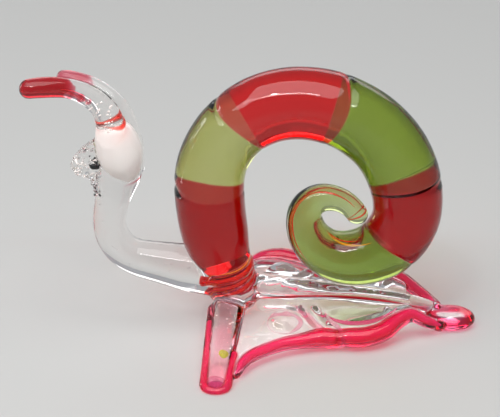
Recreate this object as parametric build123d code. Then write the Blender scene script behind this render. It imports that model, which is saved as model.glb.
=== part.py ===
"""Lampworked glass snail, 58 mm long, made of coloured gathers fused hot to a clear body.

Millimetres, +Z up. The snail looks towards -X and rests on Z = 0. Its shell coil lies in the
middle plane Y = 0, and the origin is on the ground below the middle of its length.
Left is the snail's own left, the -Y side. Every joint between two pieces is a hot weld: the bands
of the shell meet face to face, and a curved seat follows its neighbour at the weld gap.
"""
from build123d import *
from math import acos, atan2, cos, degrees, hypot, pi, radians, sin
import os

# Overall sizes
snail_length = 58.0  # tip of the left tentacle to the tip of the tail
foot_width = 38.0  # over the tips of the two front legs
rest_flat_depth = 0.2  # how much of each low point the bench flattens
weld_gap = 0.05  # between a piece and the curved seat that its neighbour is cut to

# Shell: one round tube on a chain of tangent arcs, from the root inwards
root_x = -2.3
root_z = 4.6
coil_radius = 12.5
coil_radius_shares = (2.7, 0.9, 1.14, 0.59, 0.47, 0.22, 0.37)
coil_turns = (27, 90, 90, 90, 90, 90, 60)
coil_start_heading = 117
tube_diameter = 9.4
tube_shares = (
    (0.00, 0.58), (0.06, 0.78), (0.10, 0.94), (0.20, 0.96), (0.28, 0.93), (0.40, 0.98), (0.60, 1.00),
    (0.72, 0.89), (0.79, 0.76), (0.83, 0.66), (0.88, 0.53), (0.92, 0.43), (0.96, 0.34), (1.00, 0.29),
)
seam_shares = (0.055, 0.18, 0.30, 0.45, 0.61, 0.72, 1.00)
seam_shoulder = 1.2  # length over which a band rounds down to its seam
seam_groove_shares = (0.945, 0.985, 1.0)  # of the tube: at the seam, half way, at the shoulder's end
band_colours = ("red", "green")
band_stations = 3  # sections between the two shoulders of a band

root_stations = 4

# Red threads wound round the root gather
thread_diameter = 0.9
thread_count = 3
thread_tilt = 8
thread_shares = (0.28, 0.76)  # of the gather's length, where the first and the last thread lie

# Neck: a clear rod that runs forward from the root and bends up to the head
neck_diameter = 4.4
neck_z = 7.0
neck_root_inset = 0.5
neck_leg_shares = ((0.43, 0), (0.32, 85), (0.25, 12))  # of its length, with the turn of each leg
neck_shares = ((0.00, 1.42), (0.22, 1.40), (0.36, 1.22), (0.50, 1.07), (0.72, 0.98), (0.84, 1.02), (1.00, 1.30))
neck_stations = 9

# Head: an egg-shaped gather on the neck
head_share = 0.30  # of the snail's length, from the origin forward to the head's middle
head_z = 24.9
head_width = 6.0
head_height = 8.4
head_lean = 14
neck_top_drop = 3.2  # from the head's middle down to the end of the neck

# Snout: a gather pinched flat, on the front of the head and neck
snout_length = 5.0
snout_height = 7.4
snout_thickness = 2.4
snout_face_share = 0.80  # of the outline, on the two pinched faces
snout_back = 1.2  # from the head's middle forward to where the snout is rooted
snout_drop = 2.3
snout_outline_shares = (
    (0.05, 0.42), (0.40, 0.49), (0.66, 0.36), (0.90, 0.17), (0.99, 0.02), (0.88, -0.13), (0.62, -0.21),
    (0.47, -0.33), (0.38, -0.50), (0.05, -0.45),
)
eye_length = 1.3
eye_width = 0.9
eye_stand = 0.35  # how far an eye stands off the snout
eye_level_shares = ((0.0, 1.0), (0.6, 0.85), (1.0, 0.45))
eye_shares = (0.33, 0.06)  # of the snout's length and height, from its root

# Tentacles: two rods that rise from the head and bend forward, each with a coloured tip
tentacle_splay = 18
left_tentacle_diameter = 2.5
left_tentacle_side = 1.5
left_tentacle_forward = 0.9  # of the head's middle
left_tentacle_base_z = 27.6
left_tentacle_tip_z = 34.8
left_leg_shares = ((0.32, 52), (0.43, 40), (0.25, 10))
left_tentacle_shares = (
    (0.00, 1.52), (0.15, 1.42), (0.33, 1.25), (0.52, 1.10), (0.66, 1.00), (0.86, 1.06), (1.00, 0.98),
)
left_tip_share = 0.62  # of the tentacle's length, where its coloured tip starts
right_tentacle_diameter = 2.2
right_tentacle_side = 1.9
right_tentacle_forward = -2.2
right_tentacle_base_z = 21.6
right_tentacle_tip_z = 32.8
right_tentacle_reach = 9.8  # level, from its base to its tip
right_leg_shares = ((0.49, 32), (0.13, 28), (0.38, 30))
right_tentacle_shares = ((0.00, 0.85), (0.15, 1.00), (0.50, 1.06), (0.85, 0.98), (1.00, 0.82))
right_tip_share = 0.76
tentacle_stations = 6
collar_diameter = 1.0
collar_share = 0.10  # of the left tentacle's length

# Keel: the clear rod along the back of the foot, tapering to the tail
keel_diameter = 3.7
keel_height = 5.6
keel_leg_shares = ((0.45, 0), (0.30, 5), (0.25, 14))
keel_shares = ((0.00, 1.05), (0.20, 0.92), (0.45, 0.66), (0.75, 0.58), (0.90, 0.48), (1.00, 0.40))
keel_stations = 7

# Tail lobe: a flattened drop with a pressed dimple
lobe_length = 6.6
lobe_width = 5.4
lobe_height = 2.4
lobe_side = 1.0  # its middle lies this far to the left
lobe_level_shares = ((0.00, 0.84), (0.25, 0.97), (0.50, 1.00), (0.75, 0.92), (1.00, 0.66))
dimple_diameter = 2.6
dimple_depth = 0.7

# Front legs: flat clear cones with a red rim along both edges and round the tip
leg_forward = 0.9  # of the root
leg_start = 0.5  # from the middle plane, inside the root gather
leg_splay = 6
leg_height = 5.0
leg_width = 4.8
leg_thickness = 2.6
leg_width_shares = ((0.00, 0.90), (1.00, 0.60))
leg_thickness_shares = ((0.00, 1.30), (0.40, 1.00), (1.00, 0.58))
leg_stations = 6
leg_rim_diameter = 1.3
leg_rim_share = 0.22  # of the leg's length, where the rim starts on the front edge
leg_rim_back_share = 0.70

# Skirt: clear sheets from the keel to thick red rims near the ground
rim_diameter = 2.6
web_thickness = 1.2
web_span_shares = (-0.03, 0.70)  # of the foot's length, from inside the leg to under the crest
web_stations = 6
web_root_share = 0.35  # of the keel's diameter, how far from its middle a sheet starts

# Rims. Each row is (along, out, up, thick): along the foot from the root to the tail, out to half
# the foot's width, up to the keel's height, and of the rim's diameter.
left_front_rim_shares = (
    (0.045, 0.69, 0.26, 0.50), (0.11, 0.56, 0.30, 0.56), (0.18, 0.49, 0.31, 0.64),
    (0.26, 0.44, 0.31, 0.78), (0.34, 0.40, 0.31, 1.00), (0.415, 0.40, 0.30, 0.95),
)
left_rear_rim_shares = (
    (0.385, 0.40, 0.31, 0.72), (0.45, 0.40, 0.32, 0.98), (0.52, 0.40, 0.34, 1.02), (0.60, 0.35, 0.40, 0.98),
    (0.66, 0.27, 0.52, 0.86), (0.72, 0.215, 0.58, 0.74), (0.78, 0.22, 0.42, 0.64), (0.84, 0.20, 0.26, 0.58),
)
right_front_rim_shares = (
    (0.045, 0.73, 0.28, 0.50), (0.10, 0.75, 0.42, 0.70), (0.18, 0.74, 0.48, 0.92),
    (0.26, 0.69, 0.45, 0.92), (0.34, 0.63, 0.38, 0.90), (0.415, 0.58, 0.33, 0.90),
)
right_rear_rim_shares = (
    (0.385, 0.60, 0.35, 0.64), (0.45, 0.57, 0.33, 0.88), (0.52, 0.56, 0.34, 0.86), (0.62, 0.54, 0.36, 0.82),
    (0.70, 0.46, 0.37, 0.76), (0.77, 0.29, 0.33, 0.70), (0.84, 0.09, 0.27, 0.60),
)

seam_turn = 180  # turns the seam line of one surface away from that of the piece it is welded to
strand_spacing_share = 0.8  # distance between the sections of a strand, of its widest diameter
upward = Vector(0, 0, 1)  # the steady direction of a strand's sections


class Route:
    """A flat chain of straight runs and tangent arcs, walked by distance from its start.

    The legs are (length, turn), the turn in degrees and clockwise, and 0 for a straight run.
    The route lies in an upright plane through base, where ahead is its level direction.
    """

    def __init__(self, start, heading, legs, base=(0, 0, 0), ahead=(1, 0, 0)):
        self.start = start
        self.heading = heading
        self.legs = legs
        self.length = sum(length for length, turn in legs)
        self.base = Vector(*base)
        self.ahead = Vector(*ahead)
        self.side = self.ahead.cross(Vector(0, 0, 1))

    def place(self, distance):
        """Level distance, height and heading at a distance along the route."""
        level, height = self.start
        heading = self.heading
        for length, turn in self.legs:
            step = min(max(distance, 0), length)
            swept = turn * step / length
            chord = step
            if turn:
                chord = 2 * length / radians(turn) * sin(radians(swept) / 2)
            level += chord * cos(radians(heading - swept / 2))
            height += chord * sin(radians(heading - swept / 2))
            heading -= swept
            distance -= step
        return level, height, heading

    def point(self, distance):
        """The route's point in space."""
        level, height, heading = self.place(distance)
        return self.base + self.ahead * level + Vector(0, 0, height)

    def plane(self, distance):
        """The plane square to the route, its X axis steady and level."""
        heading = self.place(distance)[2]
        tangent = self.ahead * cos(radians(heading)) + Vector(0, 0, sin(radians(heading)))
        return Plane(origin=self.point(distance), x_dir=self.side, z_dir=tangent)


def route_between(start, end, leg_shares, base=(0, 0, 0), ahead=(1, 0, 0)):
    """A route of legs (share of its length, turn), scaled and turned to run from start to end."""
    unit_level, unit_height, unit_heading = Route((0, 0), 0, leg_shares).place(1)
    level = end[0] - start[0]
    height = end[1] - start[1]
    length = hypot(level, height) / hypot(unit_level, unit_height)
    heading = degrees(atan2(height, level) - atan2(unit_height, unit_level))
    legs = [(length * share, turn) for share, turn in leg_shares]
    return Route(start, heading, legs, base, ahead)


def blend(table, share):
    """The value at a share between the pairs (share, value) of a table."""
    for (before, low), (after, high) in zip(table, table[1:]):
        if share <= after:
            return low + (high - low) * (share - before) / (after - before)
    return table[-1][1]


def spread(first, last, count):
    """Evenly spaced places from first to last."""
    return [first + (last - first) * index / (count - 1) for index in range(count)]


def rod(route, stations, grow=0, turn=0):
    """A round rod along a route, lofted through stations (distance, diameter)."""
    sections = []
    for distance, diameter in stations:
        sections.append(route.plane(distance) * Rot(0, 0, turn) * Circle(diameter / 2 + grow))
    return loft(sections)


def tapered_rod(route, diameter, shares, stations, start=0, end=1, grow=0, turn=0):
    """A rod whose diameter follows a table of shares, between two shares of its route."""
    places = spread(start, end, stations)
    return rod(route, [(route.length * place, diameter * blend(shares, place)) for place in places], grow, turn)


def strand(points, diameters, grow=0):
    """A round strand with round ends, on a smooth line through points in space."""
    path = Spline(*points)
    reach = [0]
    for before, after in zip(points, points[1:]):
        reach.append(reach[-1] + (after - before).length)
    table = [(distance / reach[-1], diameter) for distance, diameter in zip(reach, diameters)]
    count = round(reach[-1] / (strand_spacing_share * max(diameters))) + 1
    sections = []
    planes = []
    for place in spread(0, 1, count):
        tangent = path % place
        steady = (upward - tangent * upward.dot(tangent)).normalized()
        section = Plane(origin=path @ place, x_dir=steady, z_dir=tangent)
        sections.append(section * Circle(blend(table, place) / 2 + grow))
        planes.append(section)
    return loft(sections) + dome(-planes[0], diameters[0], grow) + dome(planes[-1], diameters[-1], grow)


def dome(plane, diameter, grow=0):
    """The round, fire-polished end of a rod: half a ball turned up on the rod's last section."""
    radius = diameter / 2 + grow
    quarter = Circle(radius) & Rectangle(radius, radius, align=(Align.MIN, Align.MIN))
    return plane * revolve(Plane.XZ * quarter, Axis.Z)


def spheroid(width, height, grow=0):
    """An upright spheroid on the origin: half an ellipse turned about its own axis."""
    outline = Ellipse(width / 2 + grow, height / 2 + grow)
    half = outline & Rectangle(width + 2 * grow, height + 2 * grow, align=(Align.MIN, Align.CENTER))
    return revolve(Plane.XZ * half, Axis.Z)


def drop(plane, length, width, height, level_shares, grow=0):
    """An elliptic drop that stands on a plane, lofted through its levels (height, size)."""
    sections = []
    for level, size in level_shares:
        outline = Ellipse(length / 2 * size + grow, width / 2 * size + grow)
        sections.append(plane * Pos(0, 0, (height + grow) * level) * outline)
    return loft(sections)


def ring(route, distance, diameter, thickness, tilt=0, grow=0):
    """A ring of glass thread round a rod, its own seam turned away from the rod's."""
    seat = route.plane(distance) * Rot(tilt, 0, 0) * Rot(0, 0, 90)
    return seat * Torus(diameter / 2, thickness / 2 + grow)


def without(piece, *rooms):
    """The largest solid of a piece once the room of each neighbour is cut out of it."""
    for room in rooms:
        piece = max((piece - room).solids(), key=lambda solid: solid.volume)
    return piece


nodes = {}
half_length = snail_length / 2
head_x = -snail_length * head_share
half_width = foot_width / 2
foot_length = half_length - root_x
ground = Box(2 * snail_length, 2 * snail_length, snail_length, align=(Align.CENTER, Align.CENTER, Align.MAX))

# Shell coil
coil_legs = [(coil_radius * share * radians(turn), turn) for share, turn in zip(coil_radius_shares, coil_turns)]
coil = Route((root_x, root_z), coil_start_heading, coil_legs)
seams = [coil.length * share for share in seam_shares]


def tube(distance):
    """Diameter of the shell's tube at a distance along the coil."""
    return tube_diameter * blend(tube_shares, distance / coil.length)


def shoulder(seam, inward):
    """Stations from a seam to the end of its shoulder."""
    reach = spread(0, inward * seam_shoulder, len(seam_groove_shares))
    return [(seam + step, tube(seam + step) * share) for step, share in zip(reach, seam_groove_shares)]


def band(start, end, grow=0):
    """A coloured band of the shell between two seams; the last band ends in a round tip."""
    first = shoulder(start, 1)
    last = shoulder(end, -1)
    if end == seams[-1]:
        last = [(end, tube(end))]
    count = round(band_stations * (end - start) / (seams[1] - seams[0]))
    between = spread(first[-1][0], last[-1][0], count + 2)[1:-1]
    piece = rod(coil, first + [(distance, tube(distance)) for distance in between] + last[::-1], grow)
    if end == seams[-1]:
        piece += dome(coil.plane(end), tube(end), grow)
    return piece


for number, (start, end) in enumerate(zip(seams, seams[1:])):
    nodes[f"shell_band_{number + 1}_{band_colours[number % len(band_colours)]}"] = band(start, end)
first_band_room = band(seams[0], seams[1], weld_gap)
last_band_room = band(seams[-2], seams[-1], weld_gap)


# Root gather, up to the first seam, and the threads round it
def gather(grow=0):
    """The gather that carries the shell."""
    places = spread(0, seams[0] - seam_shoulder, root_stations)[:-1]
    stations = [(place, tube(place)) for place in places] + shoulder(seams[0], -1)[::-1]
    return rod(coil, stations, grow) + dome(-coil.plane(0), tube(0), grow)


nodes["root_gather"] = gather()
root_room = gather(weld_gap)
thread_rooms = []
for number, share in enumerate(spread(*thread_shares, thread_count)):
    distance = seams[0] * share
    thread = ring(coil, distance, tube(distance), thread_diameter, thread_tilt)
    nodes[f"root_thread_{number + 1}"] = without(thread, root_room, first_band_room, *thread_rooms)
    thread_rooms.append(ring(coil, distance, tube(distance), thread_diameter, thread_tilt, weld_gap))

# Head gather
head_place = Pos(head_x, 0, head_z) * Rot(0, -head_lean, 0) * Rot(0, 0, seam_turn)
nodes["head_gather"] = head_place * spheroid(head_width, head_height)
head_room = head_place * spheroid(head_width, head_height, weld_gap)

# Neck
neck_start = coil.place(seams[0] / 2)[0] - neck_root_inset
neck = route_between((neck_start, neck_z), (head_x, head_z - neck_top_drop), neck_leg_shares)
neck_rod = tapered_rod(neck, neck_diameter, neck_shares, neck_stations, turn=seam_turn)
neck_room = tapered_rod(neck, neck_diameter, neck_shares, neck_stations, grow=weld_gap, turn=seam_turn)
nodes["neck_rod"] = without(neck_rod, root_room, first_band_room, *thread_rooms, head_room)

# Tail lobe, with a dimple pressed into its top
tail_x = half_length - lobe_length / 2
lobe_plane = Plane(origin=(tail_x, -lobe_side, 0))
lobe = drop(lobe_plane, lobe_length, lobe_width, lobe_height, lobe_level_shares)
lobe_room = drop(lobe_plane, lobe_length, lobe_width, lobe_height, lobe_level_shares, weld_gap)
dimple_radius = (dimple_diameter ** 2 / 4 + dimple_depth ** 2) / (2 * dimple_depth)
dimple = Pos(tail_x, -lobe_side, lobe_height - dimple_depth + dimple_radius) * Sphere(dimple_radius)
nodes["tail_lobe"] = without(lobe, dimple)

# Keel
keel_start = root_x
keel = route_between((keel_start, keel_height), (tail_x, lobe_height / 2), keel_leg_shares)
keel_rod = tapered_rod(keel, keel_diameter, keel_shares, keel_stations, turn=seam_turn)
keel_room = tapered_rod(keel, keel_diameter, keel_shares, keel_stations, grow=weld_gap, turn=seam_turn)
nodes["keel_rod"] = without(keel_rod, root_room, *thread_rooms, last_band_room, lobe_room)

# Snout and eyes
snout_root = Vector(head_x - snout_back, 0, head_z - snout_drop)


def snout_section(side, share):
    """The snout's outline on a plane to one side of the middle, at a share of its size."""
    points = [(snout_length * along * share, snout_height * up * share) for along, up in snout_outline_shares]
    middle = snout_root + Vector(0, side * snout_thickness / 2, 0)
    return Plane(origin=middle, x_dir=(-1, 0, 0), z_dir=(0, 1, 0)) * make_face(Spline(*points, periodic=True))


snout = loft([snout_section(-1, snout_face_share), snout_section(0, 1), snout_section(1, snout_face_share)])
nodes["snout"] = without(snout, head_room, neck_room)
eye_place = snout_root + Vector(-snout_length * eye_shares[0], 0, snout_height * eye_shares[1])
for name, side in (("left", -1), ("right", 1)):
    face = Plane(origin=eye_place + Vector(0, side * snout_thickness / 2, 0), x_dir=(1, 0, 0), z_dir=(0, side, 0))
    nodes[f"eye_{name}"] = without(drop(face, eye_length, eye_width, eye_stand, eye_level_shares), head_room)


# Tentacles, the left one with a red collar round its base
def tentacle_route(side, forward, sideways, base_z, reach, tip_z, leg_shares):
    """A tentacle's route, in an upright plane that is splayed to one side."""
    base = (head_x - forward, side * sideways, 0)
    ahead = (-cos(radians(tentacle_splay)), side * sin(radians(tentacle_splay)), 0)
    return route_between((0, base_z), (reach, tip_z), leg_shares, base, ahead)


def tentacle_tip(route, diameter, shares, tip_share):
    """The coloured tip of a tentacle, with its round end."""
    tip = tapered_rod(route, diameter, shares, tentacle_stations, tip_share, 1)
    return tip + dome(route.plane(route.length), diameter * blend(shares, 1))


left_end_radius = left_tentacle_diameter * left_tentacle_shares[-1][1] / 2
left_reach = (half_length + head_x - left_tentacle_forward - left_end_radius) / cos(radians(tentacle_splay))
left_route = tentacle_route(
    -1, left_tentacle_forward, left_tentacle_side, left_tentacle_base_z, left_reach,
    left_tentacle_tip_z, left_leg_shares,
)
right_route = tentacle_route(
    1, right_tentacle_forward, right_tentacle_side, right_tentacle_base_z, right_tentacle_reach,
    right_tentacle_tip_z, right_leg_shares,
)
left_rod = (left_route, left_tentacle_diameter, left_tentacle_shares)
right_rod = (right_route, right_tentacle_diameter, right_tentacle_shares)
left_clear = tapered_rod(*left_rod, tentacle_stations, 0, left_tip_share)
left_room = tapered_rod(*left_rod, tentacle_stations, 0, left_tip_share, weld_gap)
right_clear = tapered_rod(*right_rod, tentacle_stations, 0, right_tip_share)
right_room = tapered_rod(*right_rod, tentacle_stations, 0, right_tip_share, weld_gap)
nodes["tentacle_left"] = without(left_clear, head_room)
nodes["tentacle_tip_left"] = tentacle_tip(*left_rod, left_tip_share)
nodes["tentacle_right"] = without(right_clear, head_room, neck_room, left_room)
nodes["tentacle_tip_right"] = tentacle_tip(*right_rod, right_tip_share)
collar_distance = left_route.length * collar_share
collar_seat = left_tentacle_diameter * blend(left_tentacle_shares, collar_share)
collar = ring(left_route, collar_distance, collar_seat, collar_diameter)
nodes["tentacle_collar_left"] = without(collar, left_room, head_room, right_room)

# Front legs
leg_tip_radius = leg_width * leg_width_shares[-1][1] / 2
leg_tip_thickness = leg_thickness * leg_thickness_shares[-1][1]


def leg_route(side):
    """The straight route of a front leg, from the root out to the middle of its round tip."""
    base = (root_x - leg_forward, 0, 0)
    ahead = (-sin(radians(leg_splay)), side * cos(radians(leg_splay)), 0)
    reach = (half_width - leg_rim_diameter / 2) / cos(radians(leg_splay)) - leg_tip_radius
    tip_height = leg_tip_thickness / 2 - rest_flat_depth
    return route_between((leg_start, leg_height), (reach, tip_height), ((1, 0),), base, ahead)


def leg_core(route, grow=0):
    """The flat clear core of a leg, between the two runs of its rim."""
    sections = []
    for share in spread(0, 1, leg_stations):
        reach = leg_width * blend(leg_width_shares, share) / 2 - leg_rim_diameter / 2 - weld_gap
        thickness = leg_thickness * blend(leg_thickness_shares, share)
        sections.append(route.plane(route.length * share) * Ellipse(reach + grow, thickness / 2 + grow))
    return loft(sections)


def leg_rim(route, front, grow=0):
    """The rim down the front edge of a leg, round its tip and part of the way up its back edge.

    On the leg's own flat, each edge is a straight line that runs into the tip's round at a tangent.
    """
    start = route.plane(0)
    flat = Plane(origin=start.origin, x_dir=start.z_dir, z_dir=start.y_dir)
    ends = []
    tangents = []
    for way, share in ((front, leg_rim_share), (-front, leg_rim_back_share)):
        end = Vector(route.length * share, way * leg_width * blend(leg_width_shares, share) / 2)
        away = end - Vector(route.length, 0)
        angle = atan2(away.Y, away.X) - way * acos(leg_tip_radius / away.length)
        ends.append(end)
        tangents.append(Vector(route.length + leg_tip_radius * cos(angle), leg_tip_radius * sin(angle)))
    tip = Vector(route.length + leg_tip_radius, 0)
    runs = [Line(ends[0], tangents[0]), ThreePointArc(tangents[0], tip, tangents[1]), Line(tangents[1], ends[1])]
    path = flat * Wire(runs)
    first = Plane(origin=path @ 0, x_dir=-flat.z_dir, z_dir=path % 0)
    last = Plane(origin=path @ 1, x_dir=-flat.z_dir, z_dir=path % 1)
    thread = sweep(first * Circle(leg_rim_diameter / 2 + grow), path)
    return thread + dome(-first, leg_rim_diameter, grow) + dome(last, leg_rim_diameter, grow)


# Skirt
def rim(rows, side, grow=0):
    """A rim of the skirt, from its rows of shares."""
    points = []
    for along, out, up, thick in rows:
        points.append(Vector(root_x + foot_length * along, side * half_width * out, keel_height * up))
    return strand(points, [rim_diameter * row[3] for row in rows], grow)


def web(rows, side):
    """A clear sheet of the skirt, lofted along the foot from the keel out to the rims."""
    sections = []
    for share in spread(*web_span_shares, web_stations):
        along = max(share, rows[0][0])
        out = half_width * blend([row[:2] for row in rows], along)
        up = keel_height * blend([(row[0], row[2]) for row in rows], along)
        x = root_x + foot_length * share
        keel_z = keel.place(x - keel_start)[1]
        inner = keel_diameter * web_root_share
        half = web_thickness / 2
        corners = [(side * inner, keel_z + half), (side * out, up + half)]
        corners += [(side * out, up - half), (side * inner, keel_z - half)]
        plane = Plane(origin=(x, 0, 0), x_dir=(0, 1, 0), z_dir=(1, 0, 0))
        sections.append(plane * make_face(Polyline(*corners, close=True)))
    return loft(sections)


# Foot, one side after the other
for name, side, front_rows, rear_rows in (
    ("left", -1, left_front_rim_shares, left_rear_rim_shares),
    ("right", 1, right_front_rim_shares, right_rear_rim_shares),
):
    route = leg_route(side)
    edge_room = leg_rim(route, -side, weld_gap)
    front_room = rim(front_rows, side, weld_gap)
    rear_room = rim(rear_rows, side, weld_gap)
    leg_room = leg_core(route, weld_gap)
    body_rooms = [root_room, *thread_rooms, keel_room]
    nodes[f"leg_rim_{name}"] = without(leg_rim(route, -side), ground)
    nodes[f"rim_front_{name}"] = without(rim(front_rows, side), edge_room, ground)
    nodes[f"rim_rear_{name}"] = without(rim(rear_rows, side), front_room, keel_room, lobe_room, ground)
    nodes[f"front_leg_{name}"] = without(leg_core(route), neck_room, *body_rooms, ground)
    sheet = web(front_rows + rear_rows[1:], side)
    nodes[f"web_{name}"] = without(sheet, edge_room, front_room, rear_room, leg_room, *body_rooms)

os.makedirs("parts", exist_ok=True)
for name, piece in nodes.items():
    export_step(piece, f"parts/{name}.step")
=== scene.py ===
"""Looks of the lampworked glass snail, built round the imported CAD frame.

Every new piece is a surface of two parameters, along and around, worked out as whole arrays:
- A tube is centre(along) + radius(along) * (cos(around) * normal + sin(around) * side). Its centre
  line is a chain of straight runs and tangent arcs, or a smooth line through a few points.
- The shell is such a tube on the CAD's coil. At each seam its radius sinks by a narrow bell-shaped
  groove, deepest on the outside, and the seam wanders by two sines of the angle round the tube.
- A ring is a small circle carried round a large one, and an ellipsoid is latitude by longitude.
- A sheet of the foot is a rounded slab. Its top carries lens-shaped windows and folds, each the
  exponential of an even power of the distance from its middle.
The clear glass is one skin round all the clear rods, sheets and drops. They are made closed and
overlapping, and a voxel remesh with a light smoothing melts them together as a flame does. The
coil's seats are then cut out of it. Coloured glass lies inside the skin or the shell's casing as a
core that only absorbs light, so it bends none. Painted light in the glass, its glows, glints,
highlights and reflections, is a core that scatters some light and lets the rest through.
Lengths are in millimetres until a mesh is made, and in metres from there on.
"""
import bpy
import math
import numpy as np
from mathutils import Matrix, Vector


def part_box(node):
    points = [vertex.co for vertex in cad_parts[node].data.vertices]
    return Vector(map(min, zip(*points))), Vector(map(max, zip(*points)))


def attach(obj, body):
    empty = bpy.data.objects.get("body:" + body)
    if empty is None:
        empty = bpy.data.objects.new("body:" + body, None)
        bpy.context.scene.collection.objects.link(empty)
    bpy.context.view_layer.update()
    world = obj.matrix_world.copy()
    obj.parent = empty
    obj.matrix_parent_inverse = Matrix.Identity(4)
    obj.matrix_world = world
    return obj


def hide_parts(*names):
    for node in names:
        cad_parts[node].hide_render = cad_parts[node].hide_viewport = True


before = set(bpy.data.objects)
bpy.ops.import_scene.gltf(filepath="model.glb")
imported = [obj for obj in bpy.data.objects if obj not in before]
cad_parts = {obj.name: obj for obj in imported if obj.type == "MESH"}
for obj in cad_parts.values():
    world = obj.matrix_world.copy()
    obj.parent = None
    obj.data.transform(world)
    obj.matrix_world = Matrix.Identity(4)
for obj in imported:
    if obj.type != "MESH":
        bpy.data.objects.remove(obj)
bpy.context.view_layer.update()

MM = 0.001
TAU = 2 * math.pi
UP = np.array((0, 0, 1.0))
ACROSS = (0, 1, 0)
ROOT = "root"
SIDES = ((-1, "left"), (1, "right"))
LEAST_HEIGHT = 0.02  # keeps every core clear of the floor

# Sizes in millimetres and tables of shares, as in the CAD. A table pairs a share of a length with a share
# of a radius or a width, and a route's legs pair a share of its length with the degrees that it turns
HALF_LENGTH = 29
HALF_WIDTH = 19.0
ROOT_X, ROOT_Z = -2.3, 4.6
COIL_RADIUS = 12.5
COIL_SHARES = (2.7, 0.9, 1.14, 0.59, 0.47, 0.22, 0.37)
COIL_TURNS = (27, 90, 90, 90, 90, 90, 60)
COIL_HEADING = 117
TUBE_RADIUS = 4.7
TUBE_SHARES = ((0.00, 0.58), (0.06, 0.78), (0.10, 0.94), (0.20, 0.96), (0.28, 0.93), (0.40, 0.98),
               (0.60, 1.00), (0.72, 0.89), (0.79, 0.76), (0.83, 0.66), (0.88, 0.53), (0.92, 0.43),
               (0.96, 0.34), (1.00, 0.29))
SEAM_SHARES = (0.055, 0.18, 0.30, 0.45, 0.61, 0.72, 1.00)
BANDS = ("red", "green", "red", "green", "red", "green")
THREADS = tuple(zip(np.linspace(0.28, 0.76, 3) * SEAM_SHARES[0], (8, 4, 0)))  # share of the coil, tilt
CURL_SEAT = (0.67, 0.86)  # of the coil, where the curl lies against the clear skin
NECK_RADIUS = 2.2
NECK_Z = 7.0
NECK_LEGS = ((0.43, 0), (0.32, 85), (0.25, 12))
NECK_SHARES = ((0.00, 1.42), (0.22, 1.40), (0.36, 1.22), (0.50, 1.07), (0.72, 0.98), (0.84, 1.02),
               (1.00, 1.30))
HEAD_X, HEAD_Z = -17.4, 24.9
HEAD_RADII = (3.0, 3.0, 4.2)
HEAD_LEAN = 14
NECK_TOP_DROP = 3.2
SNOUT_LENGTH, SNOUT_HEIGHT, SNOUT_HALF_THICKNESS = 5.0, 7.4, 1.2
SNOUT_X, SNOUT_Z = -18.6, 22.6
SNOUT_SHARES = ((0.05, 0.42), (0.40, 0.49), (0.66, 0.36), (0.90, 0.17), (0.99, 0.02), (0.88, -0.13),
                (0.62, -0.21), (0.47, -0.33), (0.38, -0.50), (0.05, -0.45))
SNOUT_MIDDLE = (1.9, 0.3)  # forward and up from its root
SPLAY = math.radians(18)
LEFT_RADIUS, RIGHT_RADIUS = 1.25, 1.1
LEFT_FORWARD = 0.9
LEFT_SHARES = ((0.00, 1.52), (0.15, 1.42), (0.33, 1.25), (0.52, 1.10), (0.66, 1.00), (0.86, 1.06),
               (1.00, 0.98))
RIGHT_SHARES = ((0.00, 0.85), (0.15, 1.00), (0.50, 1.06), (0.85, 0.98), (1.00, 0.82))
LEFT_TIP_SHARE, RIGHT_TIP_SHARE = 0.62, 0.76
TIP_INSET = 0.05  # keeps the left tip inside the CAD's box
FOOT_LENGTH = HALF_LENGTH - ROOT_X
KEEL_RADIUS = 1.85
KEEL_Z = 5.6
KEEL_LEGS = ((0.45, 0), (0.30, 5), (0.25, 14))
KEEL_SHARES = ((0.00, 1.05), (0.20, 0.92), (0.45, 0.66), (0.75, 0.58), (0.90, 0.48), (1.00, 0.40))
LOBE_X, LOBE_Y = 25.7, -1.0
LEG_WIDTH, LEG_THICKNESS = 4.8, 2.6
LEG_SPLAY = math.radians(6)
LEG_START, LEG_FORWARD, LEG_HEIGHT = 0.5, 0.9, 5.0
LEG_WIDTH_SHARES = ((0.00, 0.90), (1.00, 0.60))
LEG_THICKNESS_SHARES = ((0.00, 1.30), (0.40, 1.00), (1.00, 0.58))
LEG_RIM_RADIUS = 0.65
LEG_RIM_SHARES = (0.22, 0.70)  # of the leg's length, where its rim starts on the front and the back edge
LEG_TIP_RADIUS = LEG_WIDTH * 0.60 / 2
LEG_TIP_THICKNESS = LEG_THICKNESS * 0.58
REST_FLAT = 0.2
RIM_RADIUS = 1.3

# Rims of the skirt: side, then rows (along, out, up, thick) as shares of the foot
RIMS = {
    "front_left": (-1, ((0.045, 0.69, 0.26, 0.50), (0.11, 0.56, 0.30, 0.56), (0.18, 0.49, 0.31, 0.64),
                        (0.26, 0.44, 0.31, 0.78), (0.34, 0.40, 0.31, 1.00), (0.415, 0.40, 0.30, 0.95))),
    "rear_left": (-1, ((0.385, 0.40, 0.31, 0.72), (0.45, 0.40, 0.32, 0.98), (0.52, 0.40, 0.34, 1.02),
                       (0.60, 0.35, 0.40, 0.98), (0.66, 0.27, 0.52, 0.86), (0.72, 0.215, 0.58, 0.74),
                       (0.78, 0.22, 0.42, 0.64), (0.84, 0.20, 0.26, 0.58))),
    "front_right": (1, ((0.045, 0.73, 0.28, 0.50), (0.10, 0.75, 0.42, 0.70), (0.18, 0.74, 0.48, 0.92),
                        (0.26, 0.69, 0.45, 0.92), (0.34, 0.63, 0.38, 0.90), (0.415, 0.58, 0.33, 0.90))),
    "rear_right": (1, ((0.385, 0.60, 0.35, 0.64), (0.45, 0.57, 0.33, 0.88), (0.52, 0.56, 0.34, 0.86),
                       (0.62, 0.54, 0.36, 0.82), (0.70, 0.46, 0.37, 0.76), (0.77, 0.29, 0.33, 0.70),
                       (0.84, 0.09, 0.27, 0.60))),
}
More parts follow.
